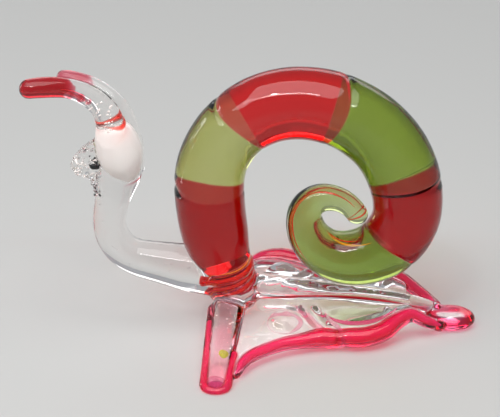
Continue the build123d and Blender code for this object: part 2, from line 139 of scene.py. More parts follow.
# The near front rim starts along the back edge of the leg: rows (x, y, z, radius) for its first three
NEAR_RIM_START = ((-2.5, -15.4, 1.0, 0.62), (-1.75, -13.6, 1.35, 0.74), (-0.6, -12.0, 1.6, 0.82),
                  (1.3, -10.5, 1.7, 0.86), (3.3, -9.3, 1.75, 0.92))

# On top of each sheet: windows (height, middle, half sizes), and folds (start, end, height, half width)
WINDOWS = ((1.05, (3.6, 6.3), (1.8, 1.4)), (0.75, (13.2, 4.4), (4.2, 1.2)))
FOLDS = (((5.2, 3.2), (9.0, 7.8), 1.05, 0.40), ((7.2, 3.0), (11.3, 8.2), 1.2, 0.36),
         ((0.2, 4.0), (5.6, 4.0), 0.8, 0.36), ((16.6, 2.6), (18.6, 6.4), 0.9, 0.36),
         ((-0.6, 9.8), (3.8, 8.3), 0.5, 0.40))


# Curves
def walk(start, heading, legs, distances):
    """Level, height and heading (degrees) at distances along a chain of (length, turn) legs."""
    distances = np.asarray(distances, float)
    level = np.full(distances.shape, float(start[0]))
    height = np.full(distances.shape, float(start[1]))
    angle = np.full(distances.shape, float(heading))
    rest = distances.copy()
    for number, (length, turn) in enumerate(legs):
        last = number == len(legs) - 1
        step = np.maximum(rest, 0) if last else np.clip(rest, 0, length)
        turned = turn * step / length
        chord = step if turn == 0 else 2 * length / math.radians(turn) * np.sin(np.radians(turned) / 2)
        level += chord * np.cos(np.radians(angle - turned / 2))
        height += chord * np.sin(np.radians(angle - turned / 2))
        angle -= turned
        rest -= length
    return level, height, angle


class Route:
    """A flat chain of legs in an upright plane, as the CAD's routes are."""

    def __init__(self, start, heading, legs, base=(0, 0, 0), ahead=(1, 0, 0)):
        self.start, self.heading, self.legs = start, heading, legs
        self.length = sum(length for length, _ in legs)
        self.base, self.ahead = np.array(base, float), np.array(ahead, float)
        self.side = np.cross(self.ahead, UP)

    def points(self, distances):
        """Points at distances along the route."""
        level, height, _ = walk(self.start, self.heading, self.legs, distances)
        return self.base + level[:, None] * self.ahead + height[:, None] * UP

    def at(self, shares):
        """Points at shares of the route's length."""
        return self.points(shares * self.length)


def route_between(start, end, shares, base=(0, 0, 0), ahead=(1, 0, 0)):
    """A route of legs (share, turn), scaled and turned to run from start to end."""
    level, height, _ = walk((0, 0), 0, shares, np.array([1.0]))
    run, rise = end[0] - start[0], end[1] - start[1]
    length = math.hypot(run, rise) / math.hypot(level[0], height[0])
    heading = math.degrees(math.atan2(rise, run) - math.atan2(height[0], level[0]))
    return Route(start, heading, [(length * share, turn) for share, turn in shares], base, ahead)


def blend(table, shares):
    """Values between the pairs of a table, softened over a twentieth of the whole at its corners."""
    places, values = zip(*table)
    spans = np.linspace(-0.5, 0.5, 9) * 0.05
    return np.mean([np.interp(np.asarray(shares) + span, places, values) for span in spans], axis=0)


def smooth_line(rows, count):
    """A smooth line (cubic, its knots spaced by the root of the gaps) through rows of any width."""
    rows = np.asarray(rows, float)
    gaps = np.sqrt(np.maximum(np.linalg.norm(np.diff(rows[:, :3], axis=0), axis=1), 1e-6))
    knots = np.concatenate([[0], np.cumsum(gaps)])
    slopes = np.gradient(rows, knots, axis=0)
    at = np.linspace(0, knots[-1], count)
    piece = np.clip(np.searchsorted(knots, at, side="right") - 1, 0, len(knots) - 2)
    span = (knots[piece + 1] - knots[piece])[:, None]
    t = (at - knots[piece])[:, None] / span
    return (
        rows[piece] * (2 * t**3 - 3 * t**2 + 1) + rows[piece + 1] * (3 * t**2 - 2 * t**3)
        + slopes[piece] * span * (t**3 - 2 * t**2 + t) + slopes[piece + 1] * span * (t**3 - t**2)
    )


def ripple(along, around, seed, waves=5):
    """A hand-made unevenness, about -1 to 1: a few slow waves of random phase."""
    dice = np.random.default_rng(seed)
    total = np.zeros(np.broadcast(along, around).shape)
    for _ in range(waves):
        turns, laps = dice.uniform(0.5, 4.5), dice.integers(0, 3)
        phase, other = dice.uniform(0, TAU, 2)
        total = total + np.sin(TAU * turns * along + phase) * np.cos(laps * around + other)
    return total / math.sqrt(waves)


def all_round(count):
    """Angles all the way round."""
    return np.linspace(0, TAU, count, endpoint=False)


# Meshes
def grid_faces(rows, columns):
    """Quads of a grid whose columns wrap round, and the fans that close its two poles."""
    row, column = np.meshgrid(np.arange(rows - 1), np.arange(columns), indexing="ij")
    step = (column + 1) % columns
    quads = np.stack([row * columns + column, row * columns + step,
                      (row + 1) * columns + step, (row + 1) * columns + column], -1).reshape(-1, 4)
    ring = np.arange(columns)
    following = (ring + 1) % columns
    first, last = rows * columns, rows * columns + 1
    base = (rows - 1) * columns
    low = np.stack([np.full(columns, first), following, ring], -1)
    high = np.stack([np.full(columns, last), base + ring, base + following], -1)
    return quads, low, high


def outward(vertices, faces):
    """The faces, turned over where the closed surface they make is inside out."""
    corners = np.array([face[:3] for face in faces])
    a, b, c = vertices[corners[:, 0]], vertices[corners[:, 1]], vertices[corners[:, 2]]
    weight = np.array([len(face) - 2 for face in faces])
    if (np.einsum("ij,ij->i", a, np.cross(b, c)) * weight).sum() < 0:
        return [face[::-1] for face in faces]
    return faces


def surface(points, poles=None):
    """(vertices, faces) of a closed surface from a grid of points, rows by columns by 3."""
    rows, columns = points.shape[:2]
    if poles is None:
        poles = points[0].mean(0), points[-1].mean(0)
    vertices = np.concatenate([points.reshape(-1, 3), np.array(poles).reshape(2, 3)])
    quads, low, high = grid_faces(rows, columns)
    faces = quads.tolist() + low.tolist() + high.tolist()
    return vertices, outward(vertices, faces)


def ring_surface(grid):
    """(vertices, faces) of a closed ring from a grid of points that wraps round both ways."""
    rows, columns = grid.shape[:2]
    row, column = np.meshgrid(np.arange(rows), np.arange(columns), indexing="ij")
    after, step = (row + 1) % rows, (column + 1) % columns
    faces = np.stack([row * columns + column, row * columns + step, after * columns + step,
                      after * columns + column], -1).reshape(-1, 4).tolist()
    vertices = grid.reshape(-1, 3)
    return vertices, outward(vertices, faces)


def stack(x, y, z):
    """A grid of points from three arrays that may share axes."""
    return np.stack(np.broadcast_arrays(x, y, z), -1)


def make(name, shapes, smooth_angle=60):
    """One Blender object from closed shapes (vertices in millimetres, faces)."""
    vertices, faces, offset = [], [], 0
    for points, polygons in shapes:
        vertices.append(np.column_stack([points[:, :2], np.maximum(points[:, 2], LEAST_HEIGHT)]))
        faces += [[index + offset for index in face] for face in polygons]
        offset += len(points)
    mesh = bpy.data.meshes.new(name)
    mesh.from_pydata((np.concatenate(vertices) * MM).tolist(), [], faces)
    mesh.update()
    mesh.shade_smooth()
    mesh.set_sharp_from_angle(angle=math.radians(smooth_angle))
    item = bpy.data.objects.new(name, mesh)
    bpy.context.scene.collection.objects.link(item)
    return item


def frames(points, up):
    """Tangent, normal and side along a line, the side square to up."""
    tangent = np.gradient(points, axis=0)
    tangent /= np.linalg.norm(tangent, axis=1)[:, None]
    side = np.cross(tangent, np.asarray(up, float))
    side /= np.linalg.norm(side, axis=1)[:, None]
    return tangent, np.cross(side, tangent), side


def tube(points, radii, up=UP, columns=40, ends="round", flat=(1, 1), uneven=0, seed=1):
    """A closed tube: centre(along) + radius(along) * (cos(around) * normal + sin(around) * side).

    flat squeezes it along its normal and its side, uneven ripples it, and round ends are half balls.
    """
    points, radii = np.asarray(points, float), np.asarray(radii, float)
    tangent, normal, side = frames(points, up)
    poles = points[0], points[-1]
    if ends == "round":
        angles = np.linspace(math.pi / 2, 0, 8)[1:-1]
        dome, shrink = np.sin(angles)[:, None], np.cos(angles)
        poles = points[0] - tangent[0] * radii[0], points[-1] + tangent[-1] * radii[-1]
        start = points[0] - tangent[0] * radii[0] * dome
        end = points[-1] + tangent[-1] * radii[-1] * dome[::-1]
        points = np.concatenate([start, points, end])
        radii = np.concatenate([radii[0] * shrink, radii, radii[-1] * shrink[::-1]])
        widths = ((len(angles), len(angles)), (0, 0))
        normal, side = np.pad(normal, widths, mode="edge"), np.pad(side, widths, mode="edge")
    around = all_round(columns)
    along = np.linspace(0, 1, len(points))[:, None]
    reach = radii[:, None] * (1 + uneven * ripple(along, around[None], seed))
    grid = (points[:, None] + (reach * np.cos(around) * flat[0])[..., None] * normal[:, None]
            + (reach * np.sin(around) * flat[1])[..., None] * side[:, None])
    return surface(grid, poles)


def rod(rows, thin=1.0, **settings):
    """A tube through rows (x, y, z, radius), thinned to a share of its radius."""
    return tube(rows[:, :3], rows[:, 3] * thin, **settings)


def ellipsoid(centre, radii, lean=0, rows=36, columns=48, uneven=0, seed=1):
    """A closed ellipsoid: radii * (sin(polar) * cos(around), sin(polar) * sin(around), cos(polar)).

    It leans about Y by lean degrees towards -X.
    """
    polar = np.linspace(0, math.pi, rows + 2)[1:-1, None]
    around = all_round(columns)[None]
    swell = 1 + uneven * ripple(polar / math.pi, around, seed)
    local = stack(radii[0] * np.sin(polar) * np.cos(around) * swell,
                  radii[1] * np.sin(polar) * np.sin(around) * swell, radii[2] * np.cos(polar) * swell)
    turn = math.radians(lean)
    spin = np.array([[math.cos(turn), 0, -math.sin(turn)], [0, 1, 0], [math.sin(turn), 0, math.cos(turn)]])
    poles = np.array([[0, 0, radii[2]], [0, 0, -radii[2]]]) @ spin.T + centre
    return surface(local @ spin.T + np.asarray(centre, float), poles)


# Materials
def linear(code):
    """A linear colour from an sRGB hex code."""
    parts = [int(code[place:place + 2], 16) / 255 for place in (0, 2, 4)]
    return (*(part / 12.92 if part <= 0.04045 else ((part + 0.055) / 1.055) ** 2.4 for part in parts), 1.0)


def add_node(tree, kind, *inputs, **named):
    """A shader node: its inputs in order or by name, and its settings by name. A socket is linked."""
    node = tree.nodes.new(kind)
    words = {word.replace("_", " "): value for word, value in named.items()}
    for key, value in [*enumerate(inputs), *words.items()]:
        if isinstance(key, str) and key not in node.inputs:
            setattr(node, key.replace(" ", "_"), value)
        elif isinstance(value, bpy.types.NodeSocket):
            tree.links.new(value, node.inputs[key])
        else:
            node.inputs[key].default_value = value
    return node


def new_material(name):
    """An empty material, and its node tree."""
    material = bpy.data.materials.new(name)
    material.use_nodes = True
    material.node_tree.nodes.clear()
    return material, material.node_tree


def glass(name, tint, shadow, bump, waves, absorb=None, density=0.0):
    """Polished glass with an absorbing body and a coloured shadow, uneven in so many waves to the millimetre.

    A ray that was mirrored twice inside it goes straight on, since few bounces are left for it.
    """
    material, tree = new_material(name)
    place = add_node(tree, "ShaderNodeTexCoord").outputs["Object"]
    uneven = add_node(tree, "ShaderNodeTexNoise", Vector=place, Scale=waves / MM, Detail=2.0, Roughness=0.45)
    relief = add_node(tree, "ShaderNodeBump", Strength=bump, Distance=MM, Height=uneven.outputs["Fac"])
    body = add_node(tree, "ShaderNodeBsdfPrincipled", Base_Color=linear(tint), Roughness=0.02, IOR=1.47,
                    Transmission_Weight=1.0, Normal=relief.outputs["Normal"])
    path = add_node(tree, "ShaderNodeLightPath").outputs
    tired = add_node(tree, "ShaderNodeMath", path["Glossy Depth"], 1.5, operation="GREATER_THAN")
    straight = add_node(tree, "ShaderNodeMath", path["Is Shadow Ray"], tired.outputs[0], operation="MAXIMUM")
    clear = add_node(tree, "ShaderNodeBsdfTransparent", Color=linear(shadow))
    mix = add_node(tree, "ShaderNodeMixShader", straight.outputs[0], body.outputs[0], clear.outputs[0])
    output = add_node(tree, "ShaderNodeOutputMaterial", Surface=mix.outputs[0])
    if absorb:
        depth = add_node(tree, "ShaderNodeVolumeAbsorption", Color=linear(absorb), Density=density)
        tree.links.new(depth.outputs[0], output.inputs["Volume"])
    return material


def core(name, absorb, density):
    """Coloured glass inside clear glass: no surface of its own, only a body that absorbs light."""
    material, tree = new_material(name)
    clear = add_node(tree, "ShaderNodeBsdfTransparent")
    depth = add_node(tree, "ShaderNodeVolumeAbsorption", Color=linear(absorb), Density=density)
    add_node(tree, "ShaderNodeOutputMaterial", Surface=clear.outputs[0], Volume=depth.outputs[0])
    return material


def milk_and_painted_glow(name, share, code="fffdfa"):
    """Glass partly clear, and for a share of one colour and translucent, that mostly paints glows, glints,
    highlights and reflections.
    """
    material, tree = new_material(name)
    front = add_node(tree, "ShaderNodeBsdfDiffuse", Color=linear(code))
    through = add_node(tree, "ShaderNodeBsdfTranslucent", Color=linear(code))
    both = add_node(tree, "ShaderNodeMixShader", 0.35, front.outputs[0], through.outputs[0])
    clear = add_node(tree, "ShaderNodeBsdfTransparent")
    mix = add_node(tree, "ShaderNodeMixShader", share, clear.outputs[0], both.outputs[0])
    add_node(tree, "ShaderNodeOutputMaterial", Surface=mix.outputs[0])
    return material


def air(name):
    """The wall of an air bubble in glass: its index is that of air over that of glass."""
    material, tree = new_material(name)
    wall = add_node(tree, "ShaderNodeBsdfGlass", Roughness=0.0, IOR=0.68)
    add_node(tree, "ShaderNodeOutputMaterial", Surface=wall.outputs[0])
    return material


def enamel(name, code):
    """Opaque glass with a slight mottling, 0.9 specks to the millimetre, drawn coarse enough to show."""
    material, tree = new_material(name)
    place = add_node(tree, "ShaderNodeTexCoord").outputs["Object"]
    grain = add_node(tree, "ShaderNodeTexNoise", Vector=place, Scale=0.9 / MM, Detail=3.0)
    ramp = add_node(tree, "ShaderNodeValToRGB", Fac=grain.outputs["Fac"])
    shade = linear(code)
    ramp.color_ramp.elements[0].color = tuple(part * 0.6 for part in shade[:3]) + (1,)
    ramp.color_ramp.elements[1].color = shade
    body = add_node(tree, "ShaderNodeBsdfPrincipled", Base_Color=ramp.outputs["Color"], Roughness=0.12)
    add_node(tree, "ShaderNodeOutputMaterial", Surface=body.outputs[0])
    return material


# Clear borosilicate glass, drawn and polished in the flame: sharp glints, hardly any tint, and slow waves
# about 4 mm long that make what lies behind it run. The casing is laid on last and is clearer still
CLEAR = glass("clear_borosilicate_glass_fire_polished", tint="fdfcfb", shadow="f0eeee", bump=0.10, waves=0.24,
              absorb="f4efef", density=30)
CASING = glass("clear_glass_casing_over_colour", tint="ffffff", shadow="ffffff", bump=0.09, waves=0.19)

# Soft glass coloured all through with metal oxides: it filters light and scatters none, so a band glows
# where it is thin or lit from behind, and darkens where it is thick
RED = core("transparent_red_soft_glass", "f0001c", 3500)
BRIGHT_RED = core("transparent_red_soft_glass_thin", "fb0824", 2300)
GREEN = core("transparent_olive_green_glass", "ccdc00", 1750)
TIP_GREEN = core("transparent_olive_green_glass_solid", "c6d800", 400)
PALE_GREEN = core("transparent_olive_green_glass_thin", "d8dc48", 1000)
SEAM_FILM = core("dark_film_at_a_fused_seam", "5a2820", 9000)

# Coloured glass drawn to trails, threads, collars and spots: a clean pink, red or green, deeper edge on
PINK_CORE = core("gold_ruby_pink_glass", "fe3fa6", 1500)
PINK_THREAD = core("gold_ruby_pink_thread", "f4286e", 11000)
HOT_PINK_CORE = core("gold_ruby_pink_glass_dense", "fd3c86", 1500)
PALE_PINK_CORE = core("gold_ruby_pink_glass_thin", "fb3a86", 1150)
RED_CORE = core("selenium_red_glass_thread", "fa3420", 1800)
DARK_CORE = core("dark_ruby_glass_tip", "f4146c", 2100)
ORANGE_CORE = core("orange_red_glass_collar", "fb5c22", 2600)
BLUSH = core("gold_ruby_blush", "fc86ac", 420)
GREEN_REFLECTION_LENS = core("pale_green_painted_reflection", "c8e878", 420)

# Air: each bubble is a bright ring with a dark edge, as light turns back where glass ends
AIR = air("air_bubble_in_glass")

# Glass partly clear and for a share scattering, so it seems lit from inside: mostly painted light. The head's
# white drop and the white bubbles are painted highlights, the pink, red and orange hearts, edges and streaks
# a painted glow, the amber a painted glint, and the green a painted reflection. The hazy pink tints the near
# sheet's ring, crease and fold and the leg tips
HEAD_PAINTED_HIGHLIGHT = milk_and_painted_glow("head_gather_painted_highlight", 0.90)
WHITE_PAINTED_HIGHLIGHT = milk_and_painted_glow("white_painted_highlight", 0.9)
PINK_PAINTED_GLOW = milk_and_painted_glow("gold_ruby_painted_glow", 0.52, "ff4e98")
RED_PAINTED_GLOW = milk_and_painted_glow("selenium_red_painted_glow", 0.58, "ff3c2c")
ORANGE_PAINTED_GLOW = milk_and_painted_glow("orange_red_painted_glow", 0.38, "ff6a30")
PINK_HAZE = milk_and_painted_glow("gold_ruby_glass_hazy", 0.24, "ff5a9c")
GREEN_PAINTED_REFLECTION = milk_and_painted_glow("green_painted_reflection", 0.6, "d4de4c")
AMBER_PAINTED_GLINT = milk_and_painted_glow("amber_painted_glint", 0.85, "ffb838")

# Black glass, melted on as a dot: near black and glossy, with one small glint
BLACK = enamel("black_glass_stringer_dot", "141416")


def dress(item, material, slot, *nodes):
    """Gives a piece its material, its body, and the CAD nodes that it stands for. Its slot is not used."""
    item.data.materials.clear()
    item.data.materials.append(material)
    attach(item, ROOT)
    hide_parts(*nodes)


def piece(name, shape, material, slot, *nodes):
    """A dressed piece of one closed shape."""
    dress(make(name, [shape]), material, slot, *nodes)


# Shell: one clear casing over six coloured bodies
coil_legs = [(COIL_RADIUS * share * math.radians(turn), turn) for share, turn in zip(COIL_SHARES, COIL_TURNS)]
coil = Route((ROOT_X, ROOT_Z), COIL_HEADING, coil_legs)
COLOUR_SHARE, HEART_SHARE = 0.972, 0.80  # outer and inner wall of the colour, of the tube
GROOVE_WIDTH, WANDER_REACH = 0.34, 1.6  # how far along the coil a seam sinks the wall and carries it along


def tube_radius(distances):
    """Radius of the shell's tube at distances along the coil."""
    return TUBE_RADIUS * blend(TUBE_SHARES, np.asarray(distances) / coil.length)


def swept_grid(route, distances, radii, columns=72, dent=None, wave=None):
    """Grid and centre line of centre(distance) + radius * (cos(around) * normal + sin(around) * side).

    Distance and radius are rows. A dent sinks the wall by a share of its radius, and a wave moves it along.
    """
    around = all_round(columns)[None]
    places = np.asarray(distances, float)[:, None] + np.zeros_like(around)
    if wave:
        places = places + wave(places, around)
    level, height, heading = walk(route.start, route.heading, route.legs, places)
    centre = route.base + level[..., None] * route.ahead + height[..., None] * UP
    angle = np.radians(heading)[..., None]
    normal = np.cos(angle) * UP - np.sin(angle) * route.ahead
    reach = np.asarray(radii)[:, None] * np.ones_like(around)
    if dent:
        reach = reach * (1 - dent(places, around))
    grid = (centre + (reach * np.cos(around))[..., None] * normal
            + (reach * np.sin(around))[..., None] * route.side)
    return grid, centre.mean(1)


def swept(route, distances, radii, columns=72, dent=None, wave=None):
    """A closed surface round a flat route."""
    grid, centre = swept_grid(route, distances, radii, columns, dent, wave)
    return surface(grid, (centre[0], centre[-1]))


def loop(route, share, radius, thickness, tilt, rise=0.0, swell=0.25, thick_at=0.0):
    """A closed ring of thread round a route: a small circle carried round a large one.

    It is tilted about the side axis, thicker on one side by a cosine, and lifted twice a turn by a sine.
    """
    centre = route.points([share * route.length])[0]
    nearby = route.points([share * route.length - 0.1, share * route.length + 0.1])
    tangent = (nearby[1] - nearby[0]) / np.linalg.norm(nearby[1] - nearby[0])
    normal = np.cross(route.side, tangent)
    lean = math.radians(tilt)
    tangent, normal = (tangent * math.cos(lean) + normal * math.sin(lean),
                       normal * math.cos(lean) - tangent * math.sin(lean))
    first, second = all_round(72)[:, None], all_round(20)[None]
    fat = thickness * (1 + swell * np.cos(first - thick_at))
    away = radius + fat * np.cos(second)
    return ring_surface(centre + (away * np.cos(first))[..., None] * normal
                        + (away * np.sin(first))[..., None] * route.side
                        + (fat * np.sin(second) + rise * np.sin(2 * first))[..., None] * tangent)


def seam_wave(number, around):
    """How far a seam wanders along the coil on its way round the tube. The first one is straight."""
    if number == 0:
        return np.zeros_like(around)
    return 0.42 * np.sin(around + number * 2.1) + 0.24 * np.sin(2 * around + number * 1.7)


def wander(distance, around):
    """How far the seams near it push a band's wall along the coil."""
    return sum(seam_wave(number, around) * np.exp(-((distance - share * coil.length) / WANDER_REACH) ** 2)
               for number, share in enumerate(SEAM_SHARES[:-1]))


def nick(distance, around):
    """How far the wall sinks: slow waves, and at each seam a narrow groove, deepest on the coil's outside."""
    total = 0.006 * ripple(distance / coil.length * 4, around, 20, waves=7)
    for number, share in enumerate(SEAM_SHARES[:-1]):
        deep = 0.010 + 0.055 * np.clip(np.cos(around - 0.25 * number), 0, 1) ** 3
        off = distance - share * coil.length - seam_wave(number, around)
        total = total + deep * np.exp(-(off / GROOVE_WIDTH) ** 2)
    return total


def round_end(first, last, stop):
    """Distances and radii from first to last, then round over the end."""
    places = np.linspace(first, last, stop)
    turn = np.linspace(0, math.pi / 2, 9)[1:]
    reach = tube_radius([last])[0]
    return (np.concatenate([places, last + reach * np.sin(turn)]),
            np.concatenate([tube_radius(places), reach * np.cos(turn)]))


def band(number):
    """The coloured body of a band: a thick tube of colour round a clear heart. The last one is solid."""
    start, end = SEAM_SHARES[number] * coil.length + 0.04, SEAM_SHARES[number + 1] * coil.length
    if number == len(BANDS) - 1:
        places, radii = round_end(start, end - 0.03, 130)
        return swept(coil, places, COLOUR_SHARE * radii, 72, nick, wander)
    places = np.linspace(start, end, int((end - start) / 0.35))
    walls = np.concatenate([COLOUR_SHARE * tube_radius(places), HEART_SHARE * tube_radius(places[::-1])])
    return ring_surface(swept_grid(coil, np.concatenate([places, places[::-1]]), walls, 72, nick, wander)[0])


def streak(first, last, turn, lean, size, seed):
    """A thin streak at 0.88 of the tube's radius. It leans from turn to turn + lean round the near side."""
    places = np.linspace(first, last, 50) * coil.length
    heading = np.radians(walk(coil.start, coil.heading, coil.legs, places)[2])
    normal = np.stack([-np.sin(heading), np.zeros(50), np.cos(heading)], -1)
    swing = (turn + lean * np.linspace(0, 1, 50))[:, None]
    off = np.cos(swing) * normal + np.sin(swing) * coil.side
    line = coil.points(places) + 0.88 * tube_radius(places)[:, None] * off
    radii = size * (0.15 + np.sin(np.linspace(0, math.pi, 50)))
    return tube(line, radii, ACROSS, columns=14, uneven=0.2, seed=seed)


band_nodes = [f"shell_band_{number}_{colour}" for number, colour in enumerate(BANDS, 1)]
casing = swept(coil, *round_end(SEAM_SHARES[0] * coil.length + 0.02, coil.length, 420), 84, nick)
piece("glass_shell_casing", casing, CASING, "clear_glass", *band_nodes)
for number, material in enumerate((RED, PALE_GREEN, BRIGHT_RED, GREEN, RED, TIP_GREEN)):
    piece(f"glass_{band_nodes[number]}", band(number), material, BANDS[number] + "_glass", band_nodes[number])

# The dark film where the fourth and the fifth band meet
radius = tube_radius([SEAM_SHARES[4] * coil.length])[0]
film = loop(coil, SEAM_SHARES[4], radius - 0.30, 0.12, 3, rise=0.30, swell=0.6, thick_at=1.3)
piece("glass_seam_film", film, SEAM_FILM, "dark_red_glass", band_nodes[4])

# Streaks of the curl, streaks of colour drawn bright as a painted glow and a white painted highlight: first
# and last share of the coil, angle from its outside, change of angle, size
for number, (material, *row) in enumerate((
        (ORANGE_PAINTED_GLOW, 0.82, 0.945, 0.55, 0.1, 0.17), (RED_PAINTED_GLOW, 0.84, 0.92, 0.90, -0.2, 0.09),
        (RED_PAINTED_GLOW, 0.925, 0.985, 0.60, 0.5, 0.11), (AMBER_PAINTED_GLINT, 0.735, 0.85, 2.35, 0.4, 0.13),
        (RED_PAINTED_GLOW, 0.76, 0.86, 2.65, 0.2, 0.10), (WHITE_PAINTED_HIGHLIGHT, 0.855, 0.905, 0.30, 0.0, 0.10))):
    shape = streak(*row, 80 + number)
    piece(f"glass_curl_streak_{number + 1}", shape, material, "orange_glass", band_nodes[5])
# A red ring at the mouth of the curl, drawn bright as a painted glow
radius = tube_radius([coil.length])[0]
edge = loop(coil, 1.0, radius * 0.86, 0.09, 0, rise=0.1, swell=0.5, thick_at=0.4)
piece("glass_curl_end_ring", edge, RED_PAINTED_GLOW, "red_glass", band_nodes[5])


# Clear rods, drops and sheets, closed and overlapping
def root_skin():
    """The coil's first stretch, and the clear swell over each root thread."""
    places = np.linspace(0, SEAM_SHARES[0] * coil.length - 0.1, 14)
    shapes = [tube(coil.points(places), tube_radius(places), ACROSS)]
    for share, tilt in THREADS:
        shapes.append(loop(coil, share, tube_radius([share * coil.length])[0], 0.5, tilt, rise=0.25))
    return shapes


neck_start = coil.points([SEAM_SHARES[0] * coil.length / 2])[0, 0] - 0.5
neck = route_between((neck_start, NECK_Z), (HEAD_X, HEAD_Z - NECK_TOP_DROP), NECK_LEGS)


def head_skin():
    """The neck, and the egg of the head on it."""
    places = np.linspace(0, 1, 70)
    return [tube(neck.at(places), NECK_RADIUS * blend(NECK_SHARES, places), ACROSS, uneven=0.012, seed=3),
            ellipsoid((HEAD_X, 0, HEAD_Z), HEAD_RADII, lean=HEAD_LEAN, uneven=0.012, seed=4)]


def snout_skin():
    """The pinched snout: its outline, drawn in by cos(lift) ** 0.45 from its middle plane to each face.

    Slow waves make its edge lumpy.
    """
    outline = SNOUT_SHARES + SNOUT_SHARES[:1]
    ring = np.array([(SNOUT_LENGTH * along, SNOUT_HEIGHT * up, 0) for along, up in outline])
    ring = smooth_line(ring, 73)[:-1]
    lift = np.linspace(-1, 1, 15)[1:-1, None] * math.pi / 2
    draw = np.cos(lift) ** 0.45 * (1 + 0.05 * ripple(lift, all_round(72)[None], 9))
    along, up = SNOUT_MIDDLE
    points = stack(SNOUT_X - along - (ring[None, :, 0] - along) * draw, SNOUT_HALF_THICKNESS * np.sin(lift),
                   SNOUT_Z + up + (ring[None, :, 1] - up) * draw)
    return surface(points, [(SNOUT_X - along, side * SNOUT_HALF_THICKNESS, SNOUT_Z + up) for side in (-1, 1)])


def tentacle(side, forward, sideways, base_z, reach, tip_z, legs):
    """The route of a tentacle, in a plane splayed from the middle one."""
    return route_between((0, base_z), (reach, tip_z), legs, (HEAD_X - forward, side * sideways, 0),
                         (-math.cos(SPLAY), side * math.sin(SPLAY), 0))


left_reach = (HALF_LENGTH + HEAD_X - LEFT_FORWARD - LEFT_RADIUS * LEFT_SHARES[-1][1]) / math.cos(SPLAY)
left = tentacle(-1, forward=LEFT_FORWARD, sideways=1.5, base_z=27.6, reach=left_reach, tip_z=34.8,
                legs=((0.32, 52), (0.43, 40), (0.25, 10)))
right = tentacle(1, forward=-2.2, sideways=1.9, base_z=21.6, reach=9.8, tip_z=32.8,
                 legs=((0.49, 32), (0.13, 28), (0.38, 30)))


def tentacle_skin():
    """Both tentacles."""
    places = np.linspace(0, 1, 60)
    left_line = left.points(places * left.length - TIP_INSET)
    return [tube(left_line, LEFT_RADIUS * blend(LEFT_SHARES, places), ACROSS, uneven=0.015, seed=5),
            tube(right.at(places), RIGHT_RADIUS * blend(RIGHT_SHARES, places), ACROSS, uneven=0.02, seed=6)]


keel = route_between((ROOT_X, KEEL_Z), (LOBE_X, 1.2), KEEL_LEGS)


def tail_skin():
    """The keel, and the lobe: an ellipsoid filled out by sin(rise) ** 0.8, with a round dimple on top."""
    places = np.linspace(0, 1, 70)
    rise, around = np.linspace(0, math.pi, 26)[1:-1, None], all_round(64)[None]
    reach = np.sin(rise) ** 0.8
    middle, half_length, half_width, half_height, dimple = 1.15, 3.3, 2.7, 1.25, 0.62
    dish = dimple * np.exp(-(reach / 0.42) ** 2) * (rise < math.pi / 2)
    lobe = stack(LOBE_X + half_length * reach * np.cos(around), LOBE_Y + half_width * reach * np.sin(around),
                 np.maximum(middle + half_height * np.cos(rise) - dish, 0.03))
    return [tube(keel.at(places), KEEL_RADIUS * blend(KEEL_SHARES, places), ACROSS, uneven=0.02, seed=7),
            surface(lobe, ((LOBE_X, LOBE_Y, middle + half_height - dimple), (LOBE_X, LOBE_Y, 0.03)))]


def leg_route(side):
    """The straight route of a front leg."""
    reach = (HALF_WIDTH - LEG_RIM_RADIUS) / math.cos(LEG_SPLAY) - LEG_TIP_RADIUS
    return route_between((LEG_START, LEG_HEIGHT), (reach, LEG_TIP_THICKNESS / 2 - REST_FLAT), ((1, 0),),
                         (ROOT_X - LEG_FORWARD, 0, 0), (-math.sin(LEG_SPLAY), side * math.cos(LEG_SPLAY), 0))


def leg_skin(side):
    """The flat clear core of a leg, rounded over its tip. Its sections are ovals of cos(around) ** 0.6."""
    route = leg_route(side)
    turn = np.linspace(0, math.pi / 2, 9)[1:-1]
    places = np.concatenate([np.linspace(0, 1, 40), np.ones(len(turn))])
    past_end = np.concatenate([np.zeros(40), LEG_TIP_RADIUS * np.sin(turn)])
    points = route.points(places * route.length + past_end)
    close = np.concatenate([np.ones(40), np.cos(turn)])
    around = all_round(40)
    tangent, normal, across = frames(points, UP)
    wide = LEG_WIDTH * blend(LEG_WIDTH_SHARES, places) / 2 * close
    thick = LEG_THICKNESS * blend(LEG_THICKNESS_SHARES, places) / 2 * close ** 0.4
    full = np.sign(np.cos(around)) * np.abs(np.cos(around)) ** 0.6
    grid = (points[:, None] + (thick[:, None] * full)[..., None] * normal[:, None]
            + (wide[:, None] * np.sin(around))[..., None] * across[:, None])
    return surface(grid, (points[0], points[-1] + tangent[-1] * 0.03))


def leg_line(side):
    """Rows (x, y, z, radius) of the rim round a leg: two straight edges that run into the tip's round."""
    route = leg_route(side)
    start, end = route.points([0, route.length])
    rows = []
    for way, share in zip((-side, side), LEG_RIM_SHARES):
        width = LEG_WIDTH * np.interp(share, *zip(*LEG_WIDTH_SHARES))
        edge = np.array((route.length * share, way * width / 2))
        away = edge - (route.length, 0)
        angle = math.atan2(away[1], away[0]) - way * math.acos(LEG_TIP_RADIUS / math.hypot(*away))
        rows.append((edge, angle))
    (first, low), (last, high) = rows
    sweep = np.linspace(low, high, 40)
    bend = np.stack([route.length + LEG_TIP_RADIUS * np.cos(sweep), LEG_TIP_RADIUS * np.sin(sweep)], -1)
    flat = np.concatenate([np.linspace(first, bend[0], 40)[:-1], bend, np.linspace(bend[-1], last, 20)[1:]])
    points = start + flat[:, :1] * (end - start) / route.length + flat[:, 1:] * route.side
    return np.concatenate([points, np.full((len(points), 1), LEG_RIM_RADIUS)], 1)


